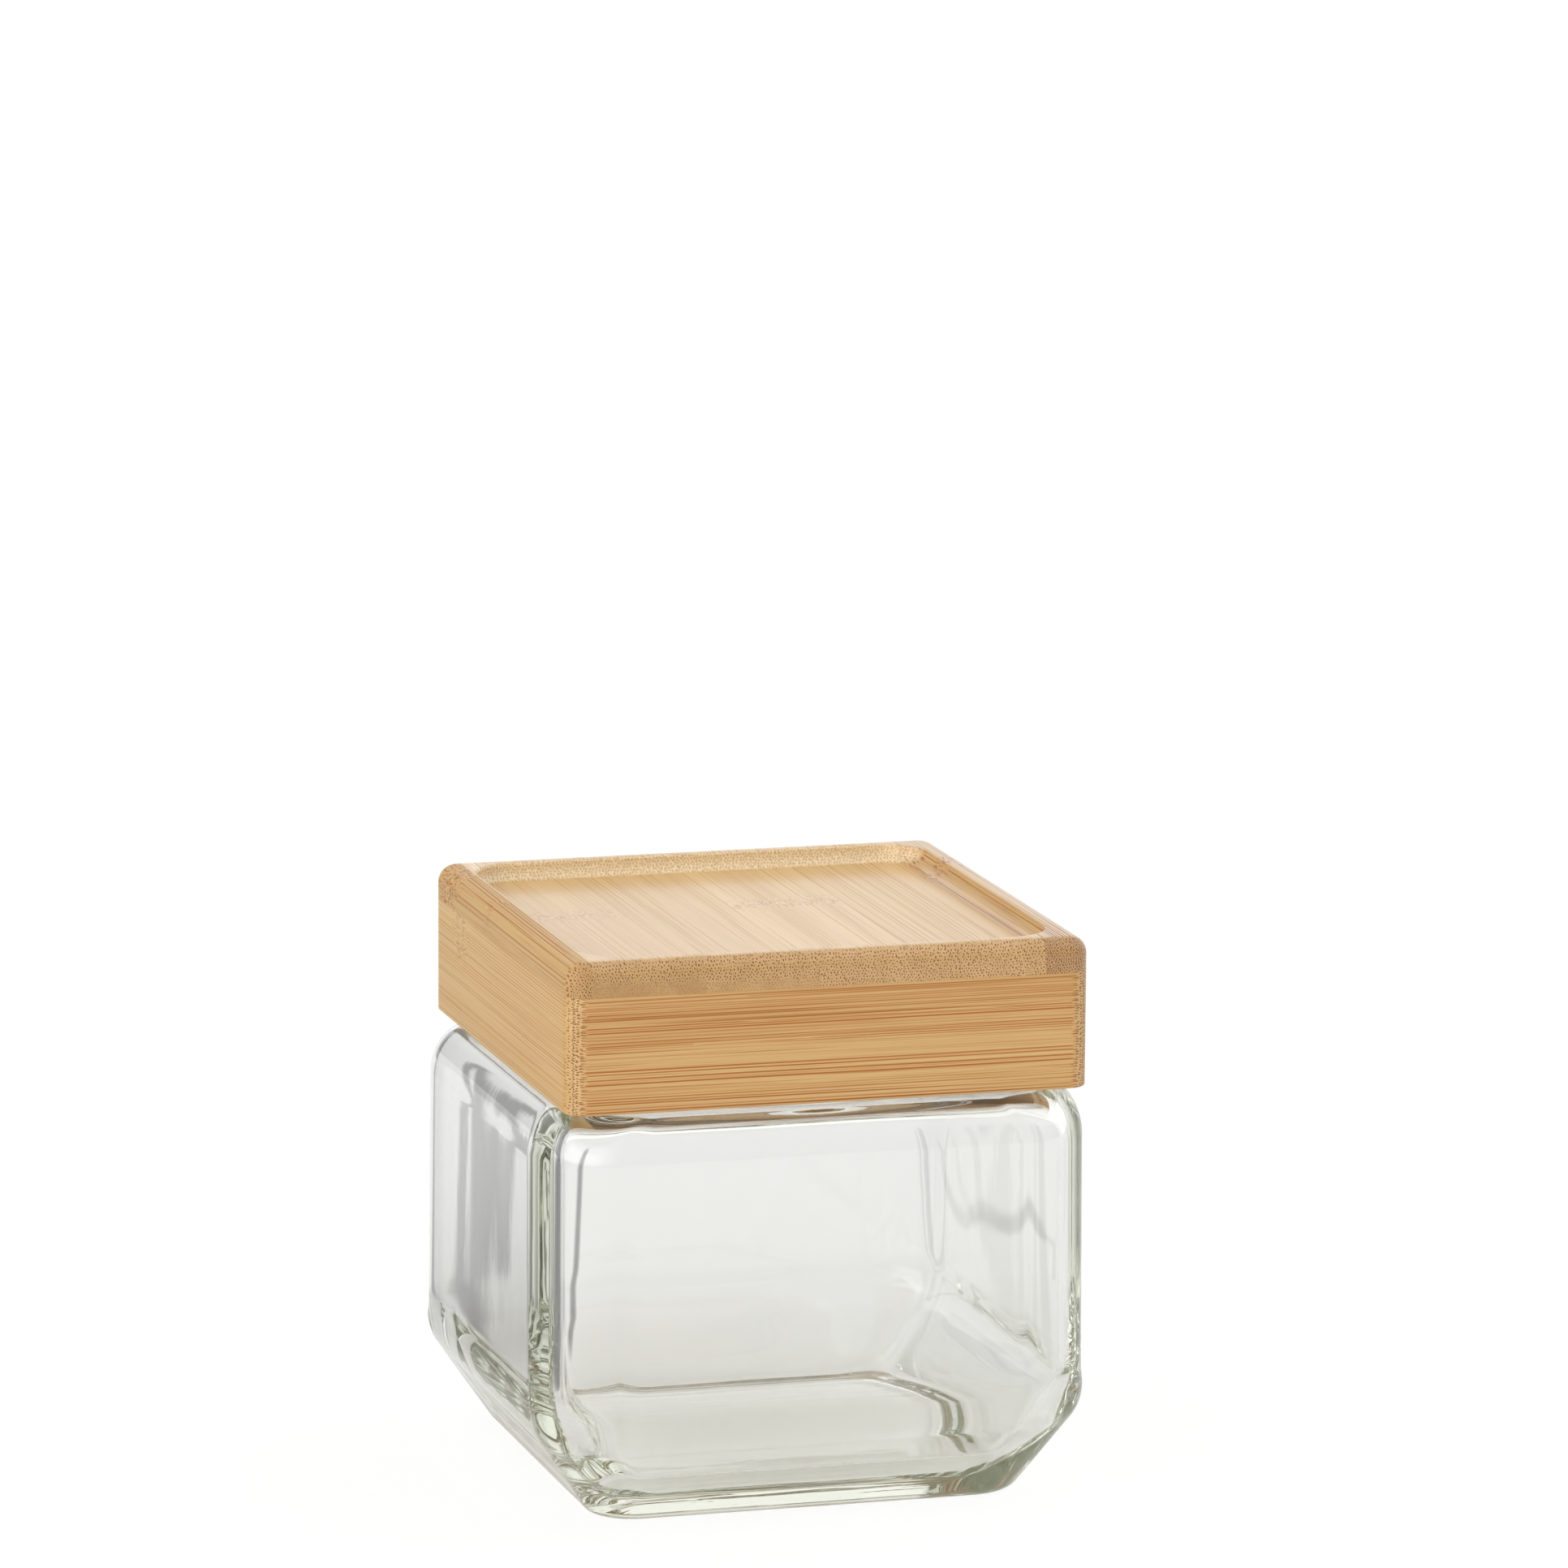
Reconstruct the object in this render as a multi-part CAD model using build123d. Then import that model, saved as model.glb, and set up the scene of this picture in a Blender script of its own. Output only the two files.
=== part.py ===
from build123d import *
import os
import math

# ---------------------------------------------------------------------------
# Square clear-glass storage jar with a deep bamboo lid.  Millimetres, +Z up.
# Origin: centre of the jar body on the plane that the jar stands on.
# ---------------------------------------------------------------------------

# glass body
BODY_HALF_LOW = 55.95     # half width just above the foot chamfer
BODY_HALF_HIGH = 55.65    # half width just under the shoulder (slight draft)
BODY_R = 18.0             # plan radius of the upright corners
FOOT_HALF = 42.75         # half width of the foot, before its edge is rounded
FOOT_R = 7.8              # plan radius of the foot corners
FOOT_MID_R = 11.5         # plan radius half way up the chamfer
CHAMFER_Z = 19.5          # height where the chamfer would meet the wall
FOOT_EDGE_R = 1.8         # rounding between foot and chamfer
KNEE_R = 12.5             # rounding between chamfer and wall
SHOULDER_Z = 82.2         # height of the flat shoulder
SHOULDER_W = 6.0          # shoulder rounding, measured inwards
SHOULDER_H = 10.0         # shoulder rounding, measured downwards

# glass wall and cavity
WALL = 5.5                # side wall thickness
BASE_T = 6.5              # thickness of the floor
INNER_FLOOR_HALF = 37.5   # half width of the cavity floor before rounding
INNER_CHAMFER_Z = 21.2    # height where the inner chamfer would meet the wall
INNER_R = 9.6             # plan radius of the cavity's upright corners
INNER_FLOOR_R = 5.0       # plan radius of the cavity floor corners
INNER_FLOOR_EDGE_R = 16.0  # rounding between cavity floor and inner chamfer
INNER_KNEE_R = 18.0       # rounding between inner chamfer and wall
INNER_TOP_Z = 78.4        # underside of the shoulder glass
INNER_TOP_W = 4.5
INNER_TOP_H = 6.5

# neck, standing a little off the body's centre
NECK_X = 0.9
NECK_Y = 0.5
NECK_RO = 43.4            # outer radius of the neck
NECK_RI = 39.8            # radius of the mouth
RIM_Z = 101.4             # top of the rim
BEAD_RO = 44.1            # bead round the rim
BEAD_H = 4.0

# lid
LID_W = 105.0             # outside width, both ways
LID_R = 4.2               # radius of the upright corners
LID_BOTTOM = 83.4
BOARD_BOTTOM = 106.4
LID_TOP = 113.1
TOP_EDGE_R = 3.5          # rounding of the board's upper outer edge
RAIL_T = 7.4              # thickness of the four rails

# tray milled in the lid's top
TRAY_HALF = 47.0          # half width at the lip
TRAY_R = 9.5              # plan radius of its corners at the lip
TRAY_DEPTH = 3.4
TRAY_COVE = 3.0           # cove between wall and floor
TRAY_LIP = 0.5            # broken edge of the lip

# joints between the board's staves, measured from the lid's centre
STAVE_JOINTS = [-47.8, -25.1, -2.4, 20.3, 43.1]

# plug and seal, turned, on the neck's axis
PLUG_STEP_R = 42.6        # upper step, stands on the glass rim
PLUG_STEP_BOTTOM = RIM_Z + 0.1
PLUG_R = 38.2             # lower step, goes into the mouth
PLUG_BOTTOM = 91.4
GROOVE_R = 36.4           # bottom of the seal groove
GROOVE_LOW = 93.6
GROOVE_HIGH = 99.6
SEAL_LIP_R = 39.5         # outside of the seal's lips, relaxed

N_ARC = 7                 # sections in each rounding


def arc_points(corner_a, corner, corner_b, radius, n):
    """Points of the arc that rounds 'corner' between two straight runs."""
    ax, az = corner_a[0] - corner[0], corner_a[1] - corner[1]
    bx, bz = corner_b[0] - corner[0], corner_b[1] - corner[1]
    la, lb = math.hypot(ax, az), math.hypot(bx, bz)
    ax, az, bx, bz = ax / la, az / la, bx / lb, bz / lb
    inner = math.acos(max(-1.0, min(1.0, ax * bx + az * bz)))
    t = radius / math.tan(inner / 2)
    mx, mz = ax + bx, az + bz
    lm = math.hypot(mx, mz)
    d = radius / math.sin(inner / 2)
    cx, cz = corner[0] + mx / lm * d, corner[1] + mz / lm * d
    p0 = (corner[0] + ax * t, corner[1] + az * t)
    p1 = (corner[0] + bx * t, corner[1] + bz * t)
    a0 = math.atan2(p0[1] - cz, p0[0] - cx)
    a1 = math.atan2(p1[1] - cz, p1[0] - cx)
    while a1 - a0 > math.pi:
        a1 -= 2 * math.pi
    while a1 - a0 < -math.pi:
        a1 += 2 * math.pi
    return [(cx + radius * math.cos(a0 + (a1 - a0) * k / (n - 1)),
             cz + radius * math.sin(a0 + (a1 - a0) * k / (n - 1))) for k in range(n)]


def lerp(x, xs, ys):
    if x <= xs[0]:
        return ys[0]
    for i in range(len(xs) - 1):
        if x <= xs[i + 1]:
            f = (x - xs[i]) / (xs[i + 1] - xs[i])
            return ys[i] + f * (ys[i + 1] - ys[i])
    return ys[-1]


def section(half, radius, z):
    """A square with rounded corners at height z."""
    return Plane.XY.offset(z) * RectangleRounded(2 * half, 2 * half, radius)


# --- glass body, outside ----------------------------------------------------
foot = arc_points((0.0, 0.0), (FOOT_HALF, 0.0), (BODY_HALF_LOW, CHAMFER_Z), FOOT_EDGE_R, N_ARC)
knee = arc_points((FOOT_HALF, 0.0), (BODY_HALF_LOW, CHAMFER_Z), (BODY_HALF_HIGH, SHOULDER_Z), KNEE_R, N_ARC + 2)
shoulder = []
for k in range(N_ARC + 2):
    th = math.pi / 2 * k / (N_ARC + 1)
    shoulder.append((BODY_HALF_HIGH - SHOULDER_W + SHOULDER_W * math.cos(th),
                     SHOULDER_Z - SHOULDER_H + SHOULDER_H * math.sin(th)))


def outer_r(z):
    return lerp(z, [0.0, CHAMFER_Z * 0.5, CHAMFER_Z + 6.0], [FOOT_R, FOOT_MID_R, BODY_R])


def stacked(profile, radius_at):
    """A solid through rounded-square sections; neighbours are ruled."""
    return loft([section(h, min(radius_at(z), h - 1.0), z) for h, z in profile], ruled=True)


outer_profile = foot + knee + shoulder
glass_outer = stacked(outer_profile, outer_r)

# --- glass cavity -----------------------------------------------------------
in_low = BODY_HALF_LOW - WALL
in_high = BODY_HALF_HIGH - WALL
floor_arc = arc_points((0.0, BASE_T), (INNER_FLOOR_HALF, BASE_T), (in_low, INNER_CHAMFER_Z), INNER_FLOOR_EDGE_R, N_ARC)
in_knee = arc_points((INNER_FLOOR_HALF, BASE_T), (in_low, INNER_CHAMFER_Z), (in_high, INNER_TOP_Z), INNER_KNEE_R, N_ARC)
in_top = []
for k in range(N_ARC):
    th = math.pi / 2 * k / (N_ARC - 1)
    in_top.append((in_high - INNER_TOP_W + INNER_TOP_W * math.cos(th),
                   INNER_TOP_Z - INNER_TOP_H + INNER_TOP_H * math.sin(th)))


def inner_r(z):
    return lerp(z, [BASE_T, INNER_CHAMFER_Z + 5.0], [INNER_FLOOR_R, INNER_R])


glass_cavity = stacked(floor_arc + in_knee + in_top, inner_r)

# --- neck with its beaded rim, turned about the neck axis --------------------
with BuildPart() as neck_builder:
    with BuildSketch(Plane.XZ):
        with BuildLine():
            Polyline(
                (NECK_RI - 6.0, SHOULDER_Z - 2.5),
                (NECK_RO + 1.6, SHOULDER_Z - 2.5),
                (NECK_RO + 1.6, SHOULDER_Z),
                (NECK_RO + 0.5, SHOULDER_Z + 0.45),
                (NECK_RO, SHOULDER_Z + 1.6),
                (NECK_RO, RIM_Z - BEAD_H),
                (BEAD_RO - 0.2, RIM_Z - BEAD_H + 0.9),
                (BEAD_RO, RIM_Z - BEAD_H + 1.8),
                (BEAD_RO - 0.3, RIM_Z - 1.0),
                (NECK_RO - 0.6, RIM_Z - 0.15),
                (NECK_RO - 1.2, RIM_Z),
                (NECK_RI + 1.0, RIM_Z),
                (NECK_RI + 0.3, RIM_Z - 0.3),
                (NECK_RI, RIM_Z - 1.0),
                (NECK_RI - 6.0, RIM_Z - 1.0),
                close=True,
            )
        make_face()
    revolve(axis=Axis.Z)
neck = Pos(NECK_X, NECK_Y, 0) * neck_builder.part
mouth_low = INNER_TOP_Z - 3.0
mouth = Pos(NECK_X, NECK_Y, (mouth_low + RIM_Z + 5) / 2) * Cylinder(NECK_RI, RIM_Z + 5 - mouth_low)
glass_jar = glass_outer + neck - mouth - glass_cavity

# --- lid board with the tray milled in its top --------------------------------
board_h = LID_TOP - BOARD_BOTTOM
with BuildPart() as board_builder:
    with BuildSketch(Plane.XY.offset(BOARD_BOTTOM)):
        RectangleRounded(LID_W, LID_W, LID_R)
    extrude(amount=board_h)
    fillet(board_builder.faces().sort_by(Axis.Z)[-1].edges(), radius=TOP_EDGE_R)
board_solid = board_builder.part

with BuildPart() as tray_builder:
    with BuildSketch(Plane.XY.offset(LID_TOP - TRAY_DEPTH)):
        RectangleRounded(2 * TRAY_HALF, 2 * TRAY_HALF, TRAY_R)
    extrude(amount=TRAY_DEPTH + 2.0)
    fillet(tray_builder.faces().sort_by(Axis.Z)[0].edges(), radius=TRAY_COVE)
tray = tray_builder.part
lip = Plane.XY.offset(LID_TOP - TRAY_LIP) * RectangleRounded(2 * TRAY_HALF, 2 * TRAY_HALF, TRAY_R)
lip_top = Plane.XY.offset(LID_TOP + 0.5) * RectangleRounded(2 * (TRAY_HALF + TRAY_LIP + 0.5),
                                                           2 * (TRAY_HALF + TRAY_LIP + 0.5),
                                                           TRAY_R + TRAY_LIP + 0.5)
lip_cut = loft([lip, lip_top], ruled=True)
board_solid = board_solid - tray - lip_cut

edges_x = [-LID_W / 2 - 1.0] + STAVE_JOINTS + [LID_W / 2 + 1.0]
staves = []
for i in range(len(edges_x) - 1):
    lo, hi = edges_x[i], edges_x[i + 1]
    block = Pos((lo + hi) / 2, 0, LID_TOP - 5) * Box(hi - lo, LID_W + 4, 30)
    staves.append(Pos(NECK_X, NECK_Y, 0) * (board_solid & block))

# --- four mitred rails --------------------------------------------------------
rail_h = BOARD_BOTTOM - LID_BOTTOM
frame_outer = extrude(Plane.XY.offset(LID_BOTTOM) * RectangleRounded(LID_W, LID_W, LID_R), amount=rail_h)
frame_inner = Pos(0, 0, LID_BOTTOM + rail_h / 2) * Box(LID_W - 2 * RAIL_T, LID_W - 2 * RAIL_T, rail_h + 2)
frame = frame_outer - frame_inner
reach = LID_W / 2 + 2.0
wedge_face = Plane.XY.offset(LID_BOTTOM - 1) * make_face(Polyline((0, 0), (-reach, -reach), (reach, -reach), close=True))
wedge = extrude(wedge_face, amount=rail_h + 2)
rails = {}
for name, angle in (("front_rail", 0), ("right_rail", 90), ("back_rail", 180), ("left_rail", 270)):
    rails[name] = Pos(NECK_X, NECK_Y, 0) * (frame & (Rot(0, 0, angle) * wedge))

# --- plug disc, turned --------------------------------------------------------
with BuildPart() as plug_builder:
    with BuildSketch(Plane.XZ):
        with BuildLine():
            Polyline(
                (0, PLUG_BOTTOM),
                (PLUG_R - 1.2, PLUG_BOTTOM),
                (PLUG_R, PLUG_BOTTOM + 1.2),
                (PLUG_R, GROOVE_LOW),
                (GROOVE_R, GROOVE_LOW),
                (GROOVE_R, GROOVE_HIGH),
                (PLUG_R, GROOVE_HIGH),
                (PLUG_R, PLUG_STEP_BOTTOM),
                (PLUG_STEP_R, PLUG_STEP_BOTTOM),
                (PLUG_STEP_R, BOARD_BOTTOM),
                (0, BOARD_BOTTOM),
                close=True,
            )
        make_face()
    revolve(axis=Axis.Z)
plug_disc = Pos(NECK_X, NECK_Y, 0) * plug_builder.part

# --- seal ring: a band that fills the groove, with two lips -------------------
g = GROOVE_HIGH - GROOVE_LOW
with BuildPart() as seal_builder:
    with BuildSketch(Plane.XZ):
        with BuildLine():
            Polyline(
                (GROOVE_R, GROOVE_LOW),
                (PLUG_R + 0.2, GROOVE_LOW),
                (PLUG_R + 0.3, GROOVE_LOW + 0.12 * g),
                (SEAL_LIP_R, GROOVE_LOW + 0.24 * g),
                (SEAL_LIP_R, GROOVE_LOW + 0.33 * g),
                (PLUG_R + 0.3, GROOVE_LOW + 0.44 * g),
                (PLUG_R + 0.3, GROOVE_LOW + 0.56 * g),
                (SEAL_LIP_R, GROOVE_LOW + 0.69 * g),
                (SEAL_LIP_R, GROOVE_LOW + 0.78 * g),
                (PLUG_R + 0.3, GROOVE_LOW + 0.90 * g),
                (PLUG_R + 0.2, GROOVE_HIGH),
                (GROOVE_R, GROOVE_HIGH),
                close=True,
            )
        make_face()
    revolve(axis=Axis.Z)
seal_ring = Pos(NECK_X, NECK_Y, 0) * seal_builder.part

# --- write every piece ---------------------------------------------------------
os.makedirs("parts", exist_ok=True)


def one(shape):
    """The single solid of a result."""
    solids = shape.solids()
    assert len(solids) == 1, len(solids)
    return solids[0]


export_step(one(glass_jar), "parts/glass_jar.step")
for n, stave in enumerate(staves, start=1):
    export_step(one(stave), "parts/board_stave_%d.step" % n)
for name, shape in rails.items():
    export_step(one(shape), "parts/%s.step" % name)
export_step(one(plug_disc), "parts/plug_disc.step")
export_step(one(seal_ring), "parts/seal_ring.step")
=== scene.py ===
import bpy
import bmesh
import math
import numpy as np
from mathutils import Matrix, Vector, noise


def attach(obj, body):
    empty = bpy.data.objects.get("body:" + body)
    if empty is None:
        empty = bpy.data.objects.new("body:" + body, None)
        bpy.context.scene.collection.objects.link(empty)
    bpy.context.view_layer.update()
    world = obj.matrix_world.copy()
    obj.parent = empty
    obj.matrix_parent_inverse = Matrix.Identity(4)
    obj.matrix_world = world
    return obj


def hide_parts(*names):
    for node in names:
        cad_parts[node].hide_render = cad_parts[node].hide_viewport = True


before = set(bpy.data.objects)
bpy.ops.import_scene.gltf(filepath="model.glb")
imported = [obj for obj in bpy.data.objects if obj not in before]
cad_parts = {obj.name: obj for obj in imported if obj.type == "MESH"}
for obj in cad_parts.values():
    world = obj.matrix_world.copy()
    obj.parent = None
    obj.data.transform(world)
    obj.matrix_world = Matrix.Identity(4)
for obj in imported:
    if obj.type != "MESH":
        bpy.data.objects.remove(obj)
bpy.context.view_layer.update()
MM = 0.001
scene = bpy.context.scene

# ---------------------------------------------------------------------------
# Camera: the photograph's viewing angle, worked out for its square frame
# ---------------------------------------------------------------------------
AZ, PITCH, ROLL = math.radians(16.42), math.radians(10.79), math.radians(0.39)
cam_d = Vector((math.sin(AZ) * math.cos(PITCH), math.cos(AZ) * math.cos(PITCH), -math.sin(PITCH)))
cam_r = Vector((math.cos(AZ), -math.sin(AZ), 0.0))
cam_u = cam_r.cross(cam_d)
cam_x = cam_r * math.cos(ROLL) + cam_u * math.sin(ROLL)
cam_y = -cam_r * math.sin(ROLL) + cam_u * math.cos(ROLL)
cam_at = (Vector((0.9, 0.5, 50.0)) - cam_d * 1784.59 + cam_x * 5.83 + cam_y * 84.71) * MM
camera = bpy.data.objects.new("camera", bpy.data.cameras.new("camera"))
scene.collection.objects.link(camera)
camera.data.sensor_fit = "HORIZONTAL"
camera.data.sensor_width = 36.0
camera.data.lens = 11052.5 / 1932 * 36.0
camera.data.clip_start = 0.05
camera.data.clip_end = 100.0
camera.matrix_world = Matrix((
    (cam_x.x, cam_y.x, -cam_d.x, cam_at.x),
    (cam_x.y, cam_y.y, -cam_d.y, cam_at.y),
    (cam_x.z, cam_y.z, -cam_d.z, cam_at.z),
    (0.0, 0.0, 0.0, 1.0),
))
scene.camera = camera


# ---------------------------------------------------------------------------
# Node helpers
# ---------------------------------------------------------------------------
def lin(r, g, b):
    """A colour given as 0 to 255 display values, in the renderer's linear values."""
    out = []
    for c in (r, g, b):
        c /= 255.0
        out.append(c / 12.92 if c <= 0.04045 else ((c + 0.055) / 1.055) ** 2.4)
    return (*out, 1.0)


class Net:
    def __init__(self, tree):
        self.tree = tree
        tree.nodes.clear()

    def new(self, kind, **props):
        n = self.tree.nodes.new(kind)
        for k, v in props.items():
            setattr(n, k, v)
        return n

    def put(self, socket, value):
        if isinstance(value, bpy.types.NodeSocket):
            self.tree.links.new(value, socket)
        elif value is not None:
            socket.default_value = value

    def m(self, op, a, b=None, c=None, clamp=False):
        n = self.new("ShaderNodeMath", operation=op, use_clamp=clamp)
        for s, v in zip(n.inputs, (a, b, c)):
            self.put(s, v)
        return n.outputs[0]

    def v(self, op, a, b=None):
        n = self.new("ShaderNodeVectorMath", operation=op)
        self.put(n.inputs[0], a)
        self.put(n.inputs[1], b)
        return n.outputs[1] if op in ("DOT_PRODUCT", "LENGTH") else n.outputs[0]

    def scaled(self, a, k):
        n = self.new("ShaderNodeVectorMath", operation="SCALE")
        self.put(n.inputs[0], a)
        self.put(n.inputs[3], k)
        return n.outputs[0]

    def xyz(self, x, y, z):
        n = self.new("ShaderNodeCombineXYZ")
        for s, v in zip(n.inputs, (x, y, z)):
            self.put(s, v)
        return n.outputs[0]

    def split(self, a):
        n = self.new("ShaderNodeSeparateXYZ")
        self.put(n.inputs[0], a)
        return n.outputs[0], n.outputs[1], n.outputs[2]

    def noise(self, vec, detail=2.0, rough=0.5, scale=1.0):
        n = self.new("ShaderNodeTexNoise", noise_dimensions="3D")
        self.put(n.inputs["Vector"], vec)
        self.put(n.inputs["Scale"], scale)
        self.put(n.inputs["Detail"], detail)
        self.put(n.inputs["Roughness"], rough)
        return n.outputs[0], n.outputs[1]

    def cells(self, vec, randomness=1.0, dims="2D"):
        n = self.new("ShaderNodeTexVoronoi", voronoi_dimensions=dims, feature="F1")
        self.put(n.inputs["Vector"], vec)
        self.put(n.inputs["Scale"], 1.0)
        self.put(n.inputs["Randomness"], randomness)
        return n.outputs["Distance"], n.outputs["Color"]

    def ease(self, x, lo, hi, a=0.0, b=1.0):
        n = self.new("ShaderNodeMapRange", interpolation_type="SMOOTHSTEP")
        for s, v in zip(n.inputs, (x, lo, hi, a, b)):
            self.put(s, v)
        return n.outputs[0]

    def line(self, x, lo, hi, a=0.0, b=1.0):
        n = self.new("ShaderNodeMapRange", interpolation_type="LINEAR", clamp=True)
        for s, v in zip(n.inputs, (x, lo, hi, a, b)):
            self.put(s, v)
        return n.outputs[0]

    def mix(self, f, a, b, mode="MIX"):
        n = self.new("ShaderNodeMix", data_type="RGBA", blend_type=mode, clamp_factor=True)
        self.put(n.inputs[0], f)
        self.put(n.inputs[6], a)
        self.put(n.inputs[7], b)
        return n.outputs[2]


def material(name):
    mat = bpy.data.materials.new(name)
    mat.use_nodes = True
    return mat, Net(mat.node_tree)


# ---------------------------------------------------------------------------
# Bamboo.  a runs across the strip, t from the culm's skin inwards, g along
# the fibres, all in millimetres.  The bundles are threads along g, so one
# pattern gives pores on the end grain and fine lines on the long faces.
# ---------------------------------------------------------------------------
def bamboo(name, across, depth, grain, seed=0.0, light=(217, 180, 119), dark=(209, 169, 106),
           line_col=(180, 116, 52), end_col=(197, 149, 91), pore_col=(134, 76, 30), strength=1.0, lines=1.0,
           fade=None, pitch=0.66, tone=0.0, marks=(), mitre=False, drift=1.0, sheen=0.28, thin=0.17, gloss=0.42, back_wall_painted_light=0.0, core_col=(158, 92, 36), pore=0.195, cove_painted_highlight=None, long=55.0):
    mat, n = material(name)
    coord = n.new("ShaderNodeTexCoord")
    p = n.scaled(coord.outputs["Object"], 1000.0)
    a = n.m("ADD", n.v("DOT_PRODUCT", p, across[:3]), across[3])
    t = n.m("ADD", n.v("DOT_PRODUCT", p, depth[:3]), depth[3])
    g = n.m("ADD", n.v("DOT_PRODUCT", p, grain[:3]), grain[3])
    shift = n.xyz(seed * 13.7, seed * 7.3, seed * 31.1)

    def at(sa, st, sg, k=0.0):
        v = n.xyz(n.m("MULTIPLY", a, sa), n.m("MULTIPLY", t, st), n.m("MULTIPLY", g, sg))
        return n.v("ADD", v, n.v("ADD", shift, (k, k * 1.7, k * 0.6)))

    # share of end grain in the face
    end = n.m("ABSOLUTE", n.v("DOT_PRODUCT", coord.outputs["Normal"], grain[:3]))
    endf = n.ease(end, 0.10, 0.50)
    longf = n.m("SUBTRACT", 1.0, endf)

    # the fibres wander a little, each by itself
    _, w1 = n.noise(at(1 / 13.0, 1 / 13.0, 1 / 170.0, 3.1), 1.0)
    _, w2 = n.noise(at(1 / 2.2, 1 / 2.2, 1 / 85.0, 9.4), 1.0)
    w1 = n.v("SUBTRACT", w1, (0.5, 0.5, 0.5))
    w2 = n.v("SUBTRACT", w2, (0.5, 0.5, 0.5))
    warp = n.v("ADD", n.scaled(w1, 1.1 * drift), n.scaled(w2, 0.62 * drift))

    # a culm's nodes: bands where the fibres curl and darken
    bands = []
    for g0, width, how, *part_of in marks:
        wob, _ = n.noise(at(1 / 4.0, 1 / 4.0, 0.0, 5.5 + g0), 2.0)
        off = n.m("DIVIDE", n.m("SUBTRACT", n.m("SUBTRACT", g, g0), n.m("MULTIPLY", n.m("SUBTRACT", wob, 0.5), 5.0)), width)
        band = n.m("EXPONENT", n.m("MULTIPLY", n.m("MULTIPLY", off, off), -1.0))
        if part_of:
            band = n.m("MULTIPLY", band, n.ease(a, part_of[0], part_of[1]))
        _, w3 = n.noise(at(1 / 1.2, 1 / 1.2, 1 / 2.2, 2.2), 2.0)
        w3 = n.v("SUBTRACT", w3, (0.5, 0.5, 0.5))
        warp = n.v("ADD", warp, n.scaled(w3, n.m("MULTIPLY", band, 2.4 * how)))
        bands.append((band, how))
    wa, wt, _ = n.split(warp)
    a2 = n.m("ADD", a, wa)
    t2 = n.m("ADD", t, wt)

    # how strong the bundles are at this depth
    keep = strength
    if fade:
        keep = n.m("MULTIPLY", n.ease(t2, fade[0], fade[1], 1.0, fade[2]), strength)

    # bundles: one thread a cell, in staggered rows
    row = n.m("MULTIPLY", t2, 1 / (0.87 * pitch))
    flat = n.xyz(n.m("ADD", n.m("MULTIPLY", a2, 1 / pitch), n.m("MULTIPLY", row, 0.5)), row, 0.0)
    flat = n.v("ADD", flat, (seed * 17.3, seed * 5.9, 0.0))
    cell = n.new("ShaderNodeTexVoronoi", voronoi_dimensions="2D", feature="F1")
    n.put(cell.inputs["Vector"], flat)
    n.put(cell.inputs["Scale"], 1.0)
    n.put(cell.inputs["Randomness"], 0.50)
    du, dv, _ = n.split(n.v("SUBTRACT", flat, cell.outputs["Position"]))
    da = n.m("MULTIPLY", n.m("SUBTRACT", du, n.m("MULTIPLY", dv, 0.5)), pitch)
    dt = n.m("MULTIPLY", dv, 0.87 * pitch / 1.2)
    d = n.m("SQRT", n.m("ADD", n.m("MULTIPLY", da, da), n.m("MULTIPLY", dt, dt)))
    rx, ry, rz = n.split(cell.outputs["Color"])
    size = n.line(rx, 0.0, 1.0, 0.80, 1.22)
    d = n.m("DIVIDE", d, size)
    core = n.ease(d, 0.165, 0.075)
    sheath = n.ease(d, thin * 1.15, thin * 0.45)
    ring = n.m("SUBTRACT", n.ease(d, 0.36, 0.24), n.ease(d, 0.22, 0.12), clamp=True)

    # fine fibres between them
    fine, _ = n.noise(at(1 / 0.20, 1 / 0.20, 1 / 32.0, 4.0), 3.0, 0.66)
    hair, _ = n.noise(at(1 / 0.24, 1 / 0.24, 1 / long, 8.0), 2.0, 0.6)
    slow, _ = n.noise(at(1 / 4.2, 1 / 4.2, 1 / 190.0, 1.0), 2.0, 0.5)
    broad, _ = n.noise(at(1 / 16.0, 1 / 16.0, 1 / 60.0, 12.0), 1.0, 0.5)
    speck, _ = n.noise(at(1 / 0.20, 1 / 0.20, 1 / 0.8, 6.0), 2.0, 0.6)

    c = n.mix(n.ease(slow, 0.32, 0.68), lin(*dark), lin(*light))
    c = n.mix(n.m("MULTIPLY", n.ease(broad, 0.40, 0.70), 0.22), c, lin(min(255, light[0] + 10), light[1] + 9, light[2] + 10))
    c = n.mix(n.m("MULTIPLY", n.m("MULTIPLY", n.ease(fine, 0.46, 0.70), longf), 0.36), c, lin(min(255, light[0] + 16), light[1] + 15, light[2] + 18))
    c = n.mix(n.m("MULTIPLY", n.m("MULTIPLY", n.ease(fine, 0.44, 0.32), longf), 0.36 * lines), c, lin(*line_col))
    c = n.mix(n.m("MULTIPLY", n.m("MULTIPLY", n.ease(hair, 0.57, 0.65), longf), 0.62 * lines), c, lin(*line_col))

    # end grain has a tone of its own, faintly speckled
    c = n.mix(n.m("MULTIPLY", endf, 0.80), c, n.mix(n.ease(slow, 0.30, 0.70), lin(*[v - 9 for v in end_col]), lin(*[v + 6 for v in end_col])))
    # painted light: end grain on the tray's back wall, g from 26 to 49.4, is lightened toward cream to stand in for the
    # light that falls there
    if back_wall_painted_light:
        inside = n.m("MULTIPLY", n.ease(g, 26.0, 40.0), n.ease(g, 49.4, 47.8))
        c = n.mix(n.m("MULTIPLY", n.m("MULTIPLY", endf, inside), back_wall_painted_light), c, lin(252, 228, 184))
    c = n.mix(n.m("MULTIPLY", n.m("MULTIPLY", n.ease(speck, 0.50, 0.64), endf), 0.55), c, lin(152, 100, 52))

    # painted highlight: a cream band along the tray's left cove, strongest toward the back, stands in for light
    # catching the cove
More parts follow.
